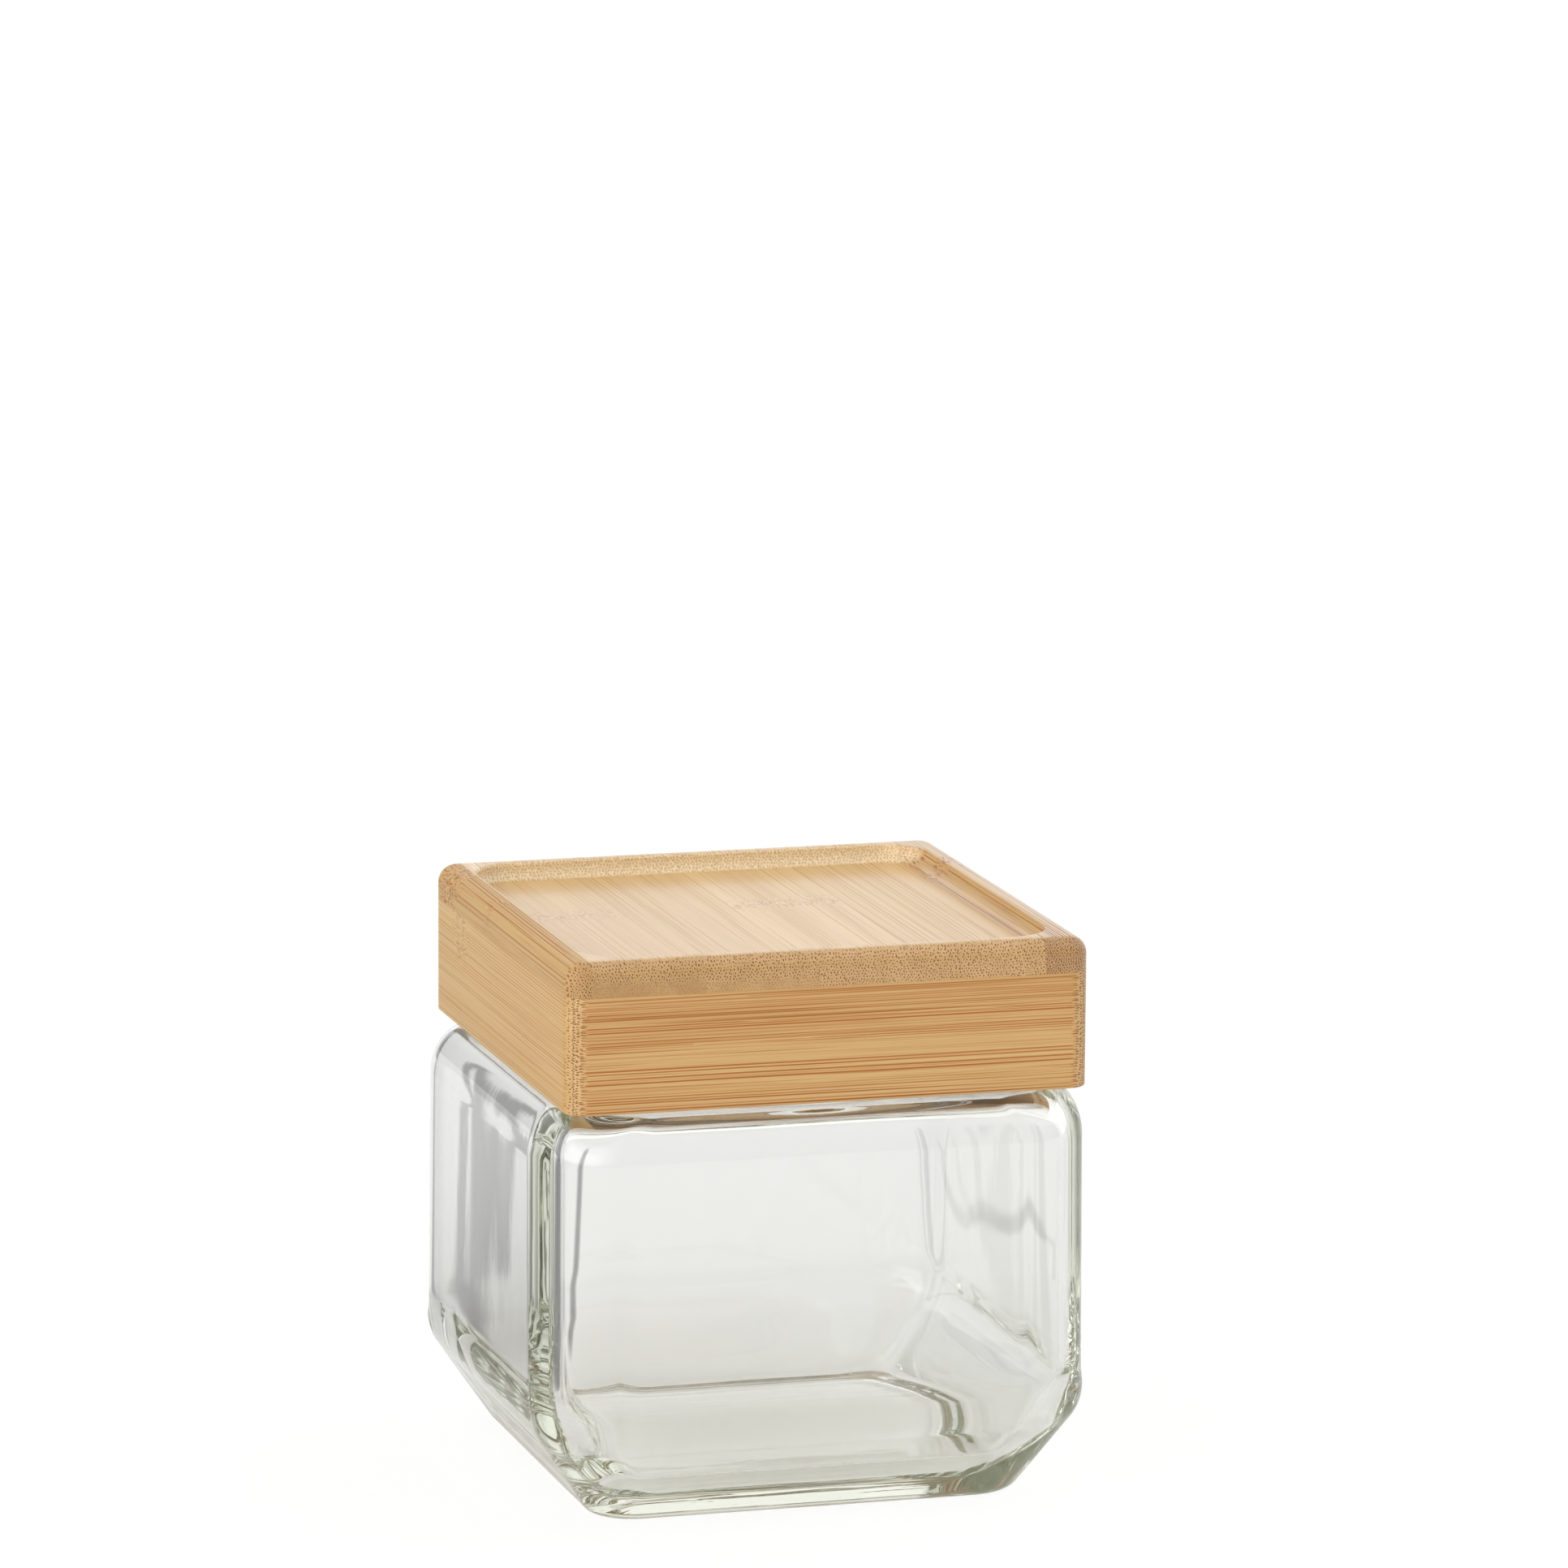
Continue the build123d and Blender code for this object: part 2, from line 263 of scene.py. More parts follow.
    if cove_painted_highlight:
        cove = n.m("MULTIPLY", n.ease(a, cove_painted_highlight[0], cove_painted_highlight[1]), n.ease(a, cove_painted_highlight[1] - 1.4, cove_painted_highlight[1] - 0.7))
        c = n.mix(n.m("MULTIPLY", n.m("MULTIPLY", cove, n.ease(g, -20.0, 32.0)), 0.60), c, lin(250, 224, 178))

    # light sheath, orange-brown line, dark pore
    c = n.mix(n.m("MULTIPLY", n.m("MULTIPLY", ring, keep), n.m("ADD", n.m("MULTIPLY", endf, 0.40), 0.26 * lines)), c, lin(230, 192, 134))
    linef = n.m("MULTIPLY", n.m("MULTIPLY", sheath, keep), n.m("MULTIPLY", longf, n.line(ry, 0.0, 1.0, 0.25, 1.0)))
    c = n.mix(n.m("MULTIPLY", linef, min(1.0, 0.85 * lines)), c, lin(*line_col))
    coref = n.m("MULTIPLY", core, keep)
    c = n.mix(n.m("MULTIPLY", n.m("MULTIPLY", coref, longf), n.line(rz, 0.35, 1.0, 0.0, 0.55 * lines)), c, lin(*core_col))
    pores = n.m("MULTIPLY", n.ease(d, pore, pore * 0.47), keep)
    # the pores fade under the same painted light on the tray's back wall
    if back_wall_painted_light:
        pores = n.m("MULTIPLY", pores, n.m("SUBTRACT", 1.0, n.m("MULTIPLY", inside, 0.55)))
    c = n.mix(n.m("MULTIPLY", n.m("MULTIPLY", pores, endf), 0.88), c, lin(*pore_col))

    for band, how in bands:
        blot, _ = n.noise(at(1 / 0.75, 1 / 0.75, 1 / 1.5, 7.7), 3.0, 0.6)
        c = n.mix(n.m("MULTIPLY", n.m("MULTIPLY", band, n.ease(blot, 0.48, 0.64)), min(1.0, 0.62 * how)), c, lin(172, 108, 48))
        c = n.mix(n.m("MULTIPLY", n.m("MULTIPLY", band, n.ease(blot, 0.46, 0.32)), 0.40 * how), c, lin(234, 202, 158))
    if tone:
        c = n.mix(tone, c, lin(146, 96, 54))
    if mitre:
        # the glued mitre shows as one fine line
        x, y, z = n.split(p)
        q = n.m("SUBTRACT", n.m("ABSOLUTE", n.m("SUBTRACT", x, 0.9)), n.m("ABSOLUTE", n.m("SUBTRACT", y, 0.5)))
        c = n.mix(n.m("MULTIPLY", n.ease(n.m("ABSOLUTE", q), 0.17, 0.05), 0.55), c, lin(134, 104, 78))

    rough = n.m("ADD", n.line(fine, 0.3, 0.7, sheen, sheen + 0.08), n.m("MULTIPLY", coref, 0.2))
    high = n.m("SUBTRACT", n.m("MULTIPLY", fine, 0.25), n.m("MULTIPLY", coref, n.m("ADD", n.m("MULTIPLY", endf, 0.9), 0.25)))
    bump = n.new("ShaderNodeBump")
    n.put(bump.inputs["Strength"], 0.5)
    n.put(bump.inputs["Distance"], 0.00004)
    n.put(bump.inputs["Height"], high)

    bsdf = n.new("ShaderNodeBsdfPrincipled")
    n.put(bsdf.inputs["Base Color"], c)
    n.put(bsdf.inputs["Roughness"], rough)
    n.put(bsdf.inputs["Normal"], bump.outputs[0])
    bsdf.inputs["IOR"].default_value = 1.48
    bsdf.inputs["Specular IOR Level"].default_value = 0.5
    bsdf.inputs["Coat Weight"].default_value = gloss
    bsdf.inputs["Coat Roughness"].default_value = 0.16
    out = n.new("ShaderNodeOutputMaterial")
    n.put(out.inputs["Surface"], bsdf.outputs[0])
    return mat


# ---------------------------------------------------------------------------
# Meshes from rings: every ring has the same count of points round the piece
# ---------------------------------------------------------------------------
def square_ring(half, radius, z, side, corner, cx=0.0, cy=0.0):
    """A square with rounded corners as 4 * (side + corner) points, starting at the end of the -Y side's left corner."""
    radius = max(radius, 1e-3)
    s = half - radius
    pts = []
    for k in range(4):
        turn = math.pi / 2 * k
        c, w = math.cos(turn), math.sin(turn)
        local = []
        for i in range(side):
            local.append((-s + 2 * s * i / side, -half))
        for i in range(corner):
            th = -math.pi / 2 + math.pi / 2 * i / corner
            local.append((s + radius * math.cos(th), -s + radius * math.sin(th)))
        pts += [(x * c - y * w + cx, x * w + y * c + cy, z) for x, y in local]
    return np.array(pts)


def arc(a, corner, b, radius, n):
    """Points that round the corner between the runs from a and to b."""
    A, C, B = (np.array(q, float) for q in (a, corner, b))
    u, v = A - C, B - C
    u, v = u / np.linalg.norm(u), v / np.linalg.norm(v)
    inner = math.acos(max(-1.0, min(1.0, float(u @ v))))
    t = radius / math.tan(inner / 2)
    m = (u + v) / np.linalg.norm(u + v)
    centre = C + m * radius / math.sin(inner / 2)
    p0, p1 = C + u * t - centre, C + v * t - centre
    a0, a1 = math.atan2(p0[1], p0[0]), math.atan2(p1[1], p1[0])
    while a1 - a0 > math.pi:
        a1 -= 2 * math.pi
    while a1 - a0 < -math.pi:
        a1 += 2 * math.pi
    return [(centre[0] + radius * math.cos(a0 + (a1 - a0) * k / (n - 1)),
             centre[1] + radius * math.sin(a0 + (a1 - a0) * k / (n - 1))) for k in range(n)]


def spread(a, b, n):
    """n points strictly between a and b."""
    return [tuple(np.array(a) + (np.array(b) - np.array(a)) * k / (n + 1)) for k in range(1, n + 1)]


def mesh_of_rings(name, rings, first=None, last=None, closed=False):
    """A surface through the rings. first and last are the points that close its two ends."""
    n = len(rings[0])
    verts = np.concatenate(rings)
    faces = []
    total = len(rings)
    for j in range(total if closed else total - 1):
        k = (j + 1) % total
        for i in range(n):
            i2 = (i + 1) % n
            faces.append((j * n + i, j * n + i2, k * n + i2, k * n + i))
    verts = [tuple(p) for p in verts]
    if first is not None:
        verts.append(tuple(first))
        c = len(verts) - 1
        faces += [(c, (i + 1) % n, i) for i in range(n)]
    if last is not None:
        verts.append(tuple(last))
        c, base = len(verts) - 1, (total - 1) * n
        faces += [(c, base + i, base + (i + 1) % n) for i in range(n)]
    mesh = bpy.data.meshes.new(name)
    mesh.from_pydata([(x * MM, y * MM, z * MM) for x, y, z in verts], [], faces)
    mesh.update()
    return mesh


def outward(mesh):
    """Turns every face outwards."""
    bm = bmesh.new()
    bm.from_mesh(mesh)
    bmesh.ops.recalc_face_normals(bm, faces=bm.faces)
    if bm.calc_volume(signed=True) < 0:
        bmesh.ops.reverse_faces(bm, faces=bm.faces)
    bm.to_mesh(mesh)
    bm.free()


def piece(name, mesh, body, node, mat, angle=None):
    mesh.polygons.foreach_set("use_smooth", [True] * len(mesh.polygons))
    if angle is not None:
        mesh.set_sharp_from_angle(angle=math.radians(angle))
    mesh.materials.append(mat)
    ob = bpy.data.objects.new(name, mesh)
    scene.collection.objects.link(ob)
    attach(ob, body)
    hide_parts(node)
    return ob


# ---------------------------------------------------------------------------
# The glass jar
# ---------------------------------------------------------------------------
BODY_HALF_LOW, BODY_HALF_HIGH, BODY_R = 55.95, 55.65, 18.0
FOOT_HALF, FOOT_R, FOOT_MID_R, CHAMFER_Z = 42.75, 7.8, 11.5, 19.5
SHOULDER_Z, SHOULDER_W, SHOULDER_H = 82.2, 6.0, 10.0
WALL, BASE_T = 5.5, 6.5
INNER_FLOOR_HALF, INNER_CHAMFER_Z = 37.5, 21.2
INNER_R_WALL, INNER_R_FLOOR = 9.6, 5.0
INNER_TOP_Z, INNER_TOP_W, INNER_TOP_H = 78.4, 4.5, 6.5
NX, NY = 0.9, 0.5
NECK_RO, NECK_RI, RIM_Z, BEAD_RO = 43.4, 39.8, 101.4, 44.1
SIDE, CORNER = 46, 26


def lerp(x, xs, ys):
    return float(np.interp(x, xs, ys))


def outer_r(z):
    return lerp(z, [0.0, CHAMFER_Z * 0.5, CHAMFER_Z + 6.0], [FOOT_R, FOOT_MID_R, BODY_R])


def inner_r(z):
    return lerp(z, [BASE_T, INNER_CHAMFER_Z + 5.0], [INNER_R_FLOOR, INNER_R_WALL])


def wave(p, amount, across, along, seed):
    """A smooth bump in millimetres, long along Z as glass flows in its mould."""
    return amount * noise.noise(Vector((p[0] / across + seed, p[1] / across - seed * 1.3, p[2] / along + seed * 0.7)))


rings = []
low = (BODY_HALF_LOW, CHAMFER_Z)
foot = arc((0, 0), (FOOT_HALF, 0), low, 4.6, 15)
knee = arc((FOOT_HALF, 0), low, (BODY_HALF_HIGH, SHOULDER_Z), 12.5, 17)
shoulder = [(BODY_HALF_HIGH - SHOULDER_W + SHOULDER_W * math.cos(math.pi / 2 * k / 18),
             SHOULDER_Z - SHOULDER_H + SHOULDER_H * math.sin(math.pi / 2 * k / 18)) for k in range(19)]
outer = foot + spread(foot[-1], knee[0], 7) + knee + spread(knee[-1], shoulder[0], 26) + shoulder
f0 = outer[0][0]
for s, z in ((0.12, 0.5), (0.25, 0.5), (0.4, 0.5), (0.55, 0.5), (0.68, 0.5), (0.78, 0.5), (0.84, 0.5), (0.87, 0.46), (0.89, 0.34),
             (0.905, 0.16), (0.92, 0.04), (0.935, 0.0), (0.96, 0.0), (0.98, 0.0)):
    rings.append(square_ring(f0 * s, FOOT_R * s, z, SIDE, CORNER))
for h, z in outer:
    rings.append(square_ring(h, min(outer_r(z), h - 1), z, SIDE, CORNER))
edge = rings[-1]
angle = np.arctan2(edge[:, 1] - NY, edge[:, 0] - NX)


def circle(r, z):
    return np.stack([NX + r * np.cos(angle), NY + r * np.sin(angle), np.full(len(angle), z)], 1)


def between(a, b, n):
    return [a + (b - a) * k / (n + 1) for k in range(1, n + 1)]


neck_out = arc((50, SHOULDER_Z), (NECK_RO, SHOULDER_Z), (NECK_RO, 95), 1.7, 8)
bead_lo = arc((NECK_RO, 90), (NECK_RO, 97.4), (BEAD_RO, 98.5), 1.2, 5)
bead_hi = arc((NECK_RO, 97.4), (BEAD_RO, 98.5), (BEAD_RO, 100), 0.8, 5)
rim_out = arc((BEAD_RO, 97), (BEAD_RO, RIM_Z), (40, RIM_Z), 1.9, 9)
rim_in = arc((44, RIM_Z), (NECK_RI, RIM_Z), (NECK_RI, 90), 1.0, 7)
bore_low = arc((NECK_RI, 90), (NECK_RI, INNER_TOP_Z), (44, INNER_TOP_Z), 2.0, 8)
turned = (neck_out + spread(neck_out[-1], bead_lo[0], 8) + bead_lo + bead_hi + rim_out + spread(rim_out[-1], rim_in[0], 2)
          + rim_in + spread(rim_in[-1], bore_low[0], 12) + bore_low)
first_circle = circle(*turned[0])
rings += between(rings[-1], first_circle, 7)
rings += [circle(r, z) for r, z in turned]
n_outer = len(rings)
in_low, in_high = BODY_HALF_LOW - WALL, BODY_HALF_HIGH - WALL
inner_top = [(in_high - INNER_TOP_W + INNER_TOP_W * math.cos(math.pi / 2 * k / 14),
              INNER_TOP_Z - INNER_TOP_H + INNER_TOP_H * math.sin(math.pi / 2 * k / 14)) for k in range(14, -1, -1)]
in_knee = arc((in_high, INNER_TOP_Z), (in_low, INNER_CHAMFER_Z), (INNER_FLOOR_HALF, BASE_T), 18.0, 19)
in_floor = arc((in_low, INNER_CHAMFER_Z), (INNER_FLOOR_HALF, BASE_T), (0, BASE_T), 16.0, 21)
inner = inner_top + spread(inner_top[-1], in_knee[0], 30) + in_knee + spread(in_knee[-1], in_floor[0], 6) + in_floor
inner_rings = [square_ring(h, min(inner_r(z), h - 1), z, SIDE, CORNER) for h, z in inner]
inner_rings = between(rings[-1], inner_rings[0], 5) + inner_rings
f1 = inner[-1][0]
for s in (0.96, 0.9, 0.82, 0.72, 0.6, 0.48, 0.36, 0.24, 0.12):
    inner_rings.append(square_ring(f1 * s, inner_r(BASE_T) * s, BASE_T, SIDE, CORNER))

# the inside of pressed glass is never quite true: it moves in and out by a few tenths
for ring in inner_rings:
    for q in ring:
        z = q[2]
        if z > 74:
            k = max(0.0, (78 - z) / 4.0)
        else:
            k = 1.0
        rad = Vector((q[0], q[1], 0.0))
        if rad.length < 1e-6:
            continue
        side_n = Vector((q[0] if abs(q[0]) > abs(q[1]) else 0.0, q[1] if abs(q[1]) >= abs(q[0]) else 0.0, 0.0)).normalized()
        d = (wave(q, 0.17, 32.0, 85.0, 3.3) + wave(q, 0.03, 11.0, 130.0, 8.1)) * min(1.0, max(0.12, (z - 22.0) / 22.0))
        if z < BASE_T + 0.4:
            q[2] += 0.8 * (d + wave(q, 0.05, 9.0, 14.0, 5.7)) + 0.09 * noise.noise(Vector((q[0] / 24.0, q[1] / 4.2, 3.7)))
        else:
            q[0] += side_n.x * d * k
            q[1] += side_n.y * d * k
rings += inner_rings
glass_mesh = mesh_of_rings("glass_jar_clear", rings, first=(0, 0, 0.5), last=(0, 0, BASE_T))
outward(glass_mesh)

glass_mat, n = material("clear_soda_glass")
bsdf = n.new("ShaderNodeBsdfPrincipled")
bsdf.inputs["Base Color"].default_value = (0.99, 0.992, 0.985, 1.0)
bsdf.inputs["Transmission Weight"].default_value = 1.0
bsdf.inputs["IOR"].default_value = 1.515
coord = n.new("ShaderNodeTexCoord")
film, _ = n.noise(n.scaled(coord.outputs["Object"], 90.0), 3.0, 0.6)
n.put(bsdf.inputs["Roughness"], n.line(film, 0.45, 0.8, 0.0, 0.006))
ripple, _ = n.noise(n.v("MULTIPLY", coord.outputs["Object"], (170.0, 170.0, 60.0)), 2.0, 0.5)
gb = n.new("ShaderNodeBump")
n.put(gb.inputs["Strength"], 0.35)
n.put(gb.inputs["Distance"], 0.00002)
n.put(gb.inputs["Height"], ripple)
n.put(bsdf.inputs["Normal"], gb.outputs[0])
clear = n.new("ShaderNodeBsdfTransparent")
clear.inputs["Color"].default_value = (0.93, 0.955, 0.94, 1.0)
path = n.new("ShaderNodeLightPath")
mixer = n.new("ShaderNodeMixShader")
n.put(mixer.inputs[0], path.outputs["Is Shadow Ray"])
n.put(mixer.inputs[1], bsdf.outputs[0])
n.put(mixer.inputs[2], clear.outputs[0])
body = n.new("ShaderNodeVolumeAbsorption")
body.inputs["Color"].default_value = (0.735, 0.765, 0.625, 1.0)
body.inputs["Density"].default_value = 8.0
out = n.new("ShaderNodeOutputMaterial")
n.put(out.inputs["Surface"], mixer.outputs[0])
n.put(out.inputs["Volume"], body.outputs[0])
glass = piece("glass_jar_clear", glass_mesh, "jar", "glass_jar", glass_mat)

# ---------------------------------------------------------------------------
# The lid: a board of six staves over four mitred rails
# ---------------------------------------------------------------------------
LID_W, LID_R, LID_BOTTOM, BOARD_BOTTOM, LID_TOP = 105.0, 4.2, 83.4, 106.4, 113.1
RAIL_T, TRAY_HALF, TRAY_R, TRAY_DEPTH, TRAY_COVE = 7.4, 47.0, 9.5, 3.4, 3.0
HALF = LID_W / 2
WS, WC = 60, 12


def wood_ring(half, radius, z):
    return square_ring(half, radius, z, WS, WC, NX, NY)


board = []
for s in (0.25, 0.5, 0.75, 0.9):
    board.append(wood_ring(HALF * s, LID_R * s, BOARD_BOTTOM))
board.append(wood_ring(HALF, LID_R, BOARD_BOTTOM))
board += [wood_ring(HALF, LID_R, BOARD_BOTTOM + 3.2 * k / 4) for k in range(1, 4)]
for k in range(0, 13):
    th = math.pi / 2 * k / 12
    board.append(wood_ring(HALF - 3.5 + 3.5 * math.cos(th), LID_R - 3.5 + 3.5 * math.cos(th), LID_TOP - 3.5 + 3.5 * math.sin(th)))
lip = arc((HALF - 3.5, LID_TOP), (TRAY_HALF + 0.25, LID_TOP), (TRAY_HALF, LID_TOP - 3), 0.55, 7)
cove = arc((TRAY_HALF, LID_TOP), (TRAY_HALF, LID_TOP - TRAY_DEPTH), (0, LID_TOP - TRAY_DEPTH), TRAY_COVE - 0.05, 13)
for h, z in spread((HALF - 3.5, LID_TOP), lip[0], 1) + lip + cove:
    board.append(wood_ring(h, max(0.5, TRAY_R - (TRAY_HALF - h)), z))
f2 = cove[-1][0]
for s in (0.97, 0.9, 0.75, 0.5, 0.25):
    board.append(wood_ring(f2 * s, (TRAY_R - TRAY_COVE) * s, LID_TOP - TRAY_DEPTH))
board_mesh = mesh_of_rings("board", board, first=(NX, NY, BOARD_BOTTOM), last=(NX, NY, LID_TOP - TRAY_DEPTH))
outward(board_mesh)


def cut(mesh, planes, name):
    """The part of a closed mesh on the far side of each plane (point, normal in millimetres), with the cuts closed."""
    bm = bmesh.new()
    bm.from_mesh(mesh)
    for point, normal in planes:
        r = bmesh.ops.bisect_plane(bm, geom=bm.verts[:] + bm.edges[:] + bm.faces[:], dist=1e-8,
                                   plane_co=Vector(point) * MM, plane_no=Vector(normal), clear_inner=True)
        rim = [e for e in r["geom_cut"] if isinstance(e, bmesh.types.BMEdge)]
        bmesh.ops.holes_fill(bm, edges=rim, sides=0)
    bmesh.ops.recalc_face_normals(bm, faces=bm.faces)
    if bm.calc_volume(signed=True) < 0:
        bmesh.ops.reverse_faces(bm, faces=bm.faces)
    big = [f for f in bm.faces if len(f.verts) > 4]
    bmesh.ops.triangulate(bm, faces=big, ngon_method="EAR_CLIP")
    out_mesh = bpy.data.meshes.new(name)
    bm.to_mesh(out_mesh)
    bm.free()
    return out_mesh


STAVES = [-47.8, -25.1, -2.4, 20.3, 43.1]
stave_look = {
    1: dict(seed=1.3, tone=0.20, lines=1.3, gloss=0.0, sheen=0.45, marks=((42.0, 5.2, 1.6), (10.0, 2.6, 0.4))),
    # stave 2 carries the painted highlight on the tray's left cove
    2: dict(seed=2.7, fade=(3.0, 4.9, 0.20), lines=0.66, marks=((9.0, 5.0, 0.65),), cove_painted_highlight=(-42.8, -45.2)),
    3: dict(seed=4.1, fade=(3.6, 5.8, 0.30), lines=0.62, end_col=(202, 156, 98)),
    4: dict(seed=5.6, fade=(5.0, 7.5, 0.65), lines=0.62, marks=((11.5, 4.4, 0.70),), light=(222, 186, 126), end_col=(206, 161, 104)),
    5: dict(seed=7.2, lines=0.60, end_col=(210, 165, 108)),
    6: dict(seed=8.9, tone=0.16, lines=1.3, line_col=(156, 88, 32), core_col=(130, 70, 24), end_col=(156, 106, 56), marks=((28.0, 3.2, 1.2),)),
}
edges_x = [-HALF - 1] + STAVES + [HALF + 1]
for i in range(6):
    planes = []
    if i > 0:
        planes.append(((edges_x[i] + NX, 0, 0), (1, 0, 0)))
    if i < 5:
        planes.append(((edges_x[i + 1] + NX, 0, 0), (-1, 0, 0)))
    name = "board_stave_%d" % (i + 1)
    # each stave gets the painted light on the tray's back wall
    mat = bamboo("bamboo_board_%d" % (i + 1), (1, 0, 0, 0), (0, 0, -1, LID_TOP), (0, 1, 0, 0), back_wall_painted_light=1.0, **stave_look[i + 1])
    piece(name + "_wood", cut(board_mesh, planes, name + "_wood"), "lid", name, mat, 32)
bpy.data.meshes.remove(board_mesh)

EASE = 0.35
rail_rings = []
in_half = HALF - RAIL_T


def inner_square(half, z):
    return wood_ring(half, 0.02, z)


prof = []
for q in arc((in_half, LID_BOTTOM), (HALF, LID_BOTTOM), (HALF, 100), EASE, 5):
    prof.append(("o", *q))
for q in spread((HALF, LID_BOTTOM + EASE), (HALF, BOARD_BOTTOM), 6):
    prof.append(("o", *q))
prof.append(("o", HALF, BOARD_BOTTOM))
prof.append(("i", in_half, BOARD_BOTTOM))
for q in spread((in_half, BOARD_BOTTOM), (in_half, LID_BOTTOM + EASE), 4):
    prof.append(("i", *q))
for q in arc((in_half, 100), (in_half, LID_BOTTOM), (HALF, LID_BOTTOM), EASE, 5):
    prof.append(("i", *q))
for kind, h, z in prof:
    rail_rings.append(wood_ring(h, LID_R - (HALF - h) if kind == "o" else 0.02, z))
rail_mesh = mesh_of_rings("rails", rail_rings, closed=True)
outward(rail_mesh)
rail_look = {
    "front_rail": dict(pore=0.175, across=(0, 0, 1, 0), depth=(0, 1, 0, 52.0), grain=(1, 0, 0, 0), seed=11.3, sheen=0.36, gloss=0.12, thin=0.21,
                       pitch=0.50, light=(219, 176, 112), dark=(207, 158, 92), line_col=(180, 102, 22), end_col=(216, 172, 114),
                       core_col=(152, 84, 22), lines=1.25, drift=0.5, long=70.0),
    "right_rail": dict(pore=0.175, across=(0, 0, 1, 0), depth=(-1, 0, 0, 53.4), grain=(0, 1, 0, 0), seed=14.1, sheen=0.36, gloss=0.12, thin=0.22,
                       pitch=0.58, light=(219, 178, 114), dark=(209, 163, 97), line_col=(166, 92, 20), core_col=(138, 76, 24)),
    "back_rail": dict(pore=0.175, across=(0, 0, 1, 0), depth=(0, -1, 0, 53.0), grain=(1, 0, 0, 0), seed=17.9, sheen=0.36, gloss=0.12, thin=0.22,
                      pitch=0.56, light=(219, 178, 114), dark=(209, 163, 97), line_col=(166, 92, 20), core_col=(138, 76, 24)),
    "left_rail": dict(pore=0.175, across=(0, 0, 1, 0), depth=(1, 0, 0, 51.6), grain=(0, 1, 0, 0), seed=21.7, sheen=0.36, gloss=0.10, thin=0.18,
                      strength=0.85, light=(217, 176, 110), dark=(211, 167, 100), lines=0.62, drift=0.6, end_col=(217, 174, 116),
                      line_col=(172, 104, 34), core_col=(146, 84, 26), marks=((31.0, 5.5, 0.8, 95.0, 101.0),)),
}
for name, (nx, ny) in (("front_rail", (0, -1)), ("right_rail", (1, 0)), ("back_rail", (0, 1)), ("left_rail", (-1, 0))):
    # keep the wedge round direction (nx, ny): two mitre planes through the lid's axis
    p1 = Vector((nx - ny, ny + nx, 0)).normalized()
    p2 = Vector((nx + ny, ny - nx, 0)).normalized()
    planes = [((NX, NY, 0), tuple(p1)), ((NX, NY, 0), tuple(p2))]
    look = rail_look[name]
    mat = bamboo("bamboo_" + name, mitre=True, **look)
    piece(name + "_wood", cut(rail_mesh, planes, name + "_wood"), "lid", name, mat, 32)
bpy.data.meshes.remove(rail_mesh)

# plug: turned bamboo, seen through the glass and when the lid is lifted
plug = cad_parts["plug_disc"]
plug.data.materials.clear()
plug.data.materials.append(bamboo("bamboo_plug", (1, 0, 0, 0), (0, 0, -1, LID_TOP + 4), (0, 1, 0, 0), seed=31.0, lines=0.7,
                                  strength=0.8))

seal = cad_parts["seal_ring"]
seal.data.materials.clear()
seal_mat, n = material("clear_white_silicone")
bsdf = n.new("ShaderNodeBsdfPrincipled")
coord = n.new("ShaderNodeTexCoord")
dust, _ = n.noise(n.scaled(coord.outputs["Object"], 900.0), 4.0, 0.6)
n.put(bsdf.inputs["Base Color"], n.mix(n.ease(dust, 0.35, 0.7), (0.80, 0.81, 0.78, 1), (0.88, 0.885, 0.86, 1)))
n.put(bsdf.inputs["Roughness"], n.line(dust, 0.3, 0.7, 0.38, 0.52))
bsdf.inputs["Subsurface Weight"].default_value = 0.35
bsdf.inputs["Subsurface Scale"].default_value = 0.002
out = n.new("ShaderNodeOutputMaterial")
n.put(out.inputs["Surface"], bsdf.outputs[0])
seal.data.materials.append(seal_mat)

# ---------------------------------------------------------------------------
# Studio: plain pale floor, soft light from all round
# ---------------------------------------------------------------------------
def heading(turn):
    """A level direction, turned clockwise from the way the camera looks."""
    q = AZ + math.radians(turn)
    return (math.sin(q), math.cos(q), 0.0)


def lobe(n, level, turn, outer, inner):
    """1 near a heading, easing to 0 at outer degrees from it."""
    return n.ease(n.v("DOT_PRODUCT", level, heading(turn)), math.cos(math.radians(outer)), math.cos(math.radians(inner)))


def level_turn(n, level):
    """Degrees of a level direction, clockwise from the way the camera looks, up to 180 either way."""
    ahead = n.v("DOT_PRODUCT", level, heading(0.0))
    right = n.v("DOT_PRODUCT", level, heading(90.0))
    return n.m("MULTIPLY", n.m("ARCTAN2", right, ahead), 180.0 / math.pi)


floor_mesh = bpy.data.meshes.new("floor")
F = 40.0
floor_mesh.from_pydata([(-F, -F, -0.00012), (F, -F, -0.00012), (F, F, -0.00012), (-F, F, -0.00012)], [], [(0, 1, 2, 3)])
floor = bpy.data.objects.new("floor", floor_mesh)
scene.collection.objects.link(floor)
floor_mat, n = material("pale_floor")
coord = n.new("ShaderNodeTexCoord")
where = n.v("MULTIPLY", coord.outputs["Object"], (1.0, 1.0, 0.0))
far = n.v("LENGTH", where)
level = n.v("NORMALIZE", where)
# grey cards lie on the floor behind the jar; the glass shows their edges as soft upright streaks


def band(x, a0, a1, b1, b0):
    """1 between a1 and b1, easing to 0 at a0 and b0."""
    return n.m("MULTIPLY", n.ease(x, a0, a1), n.ease(x, b0, b1))


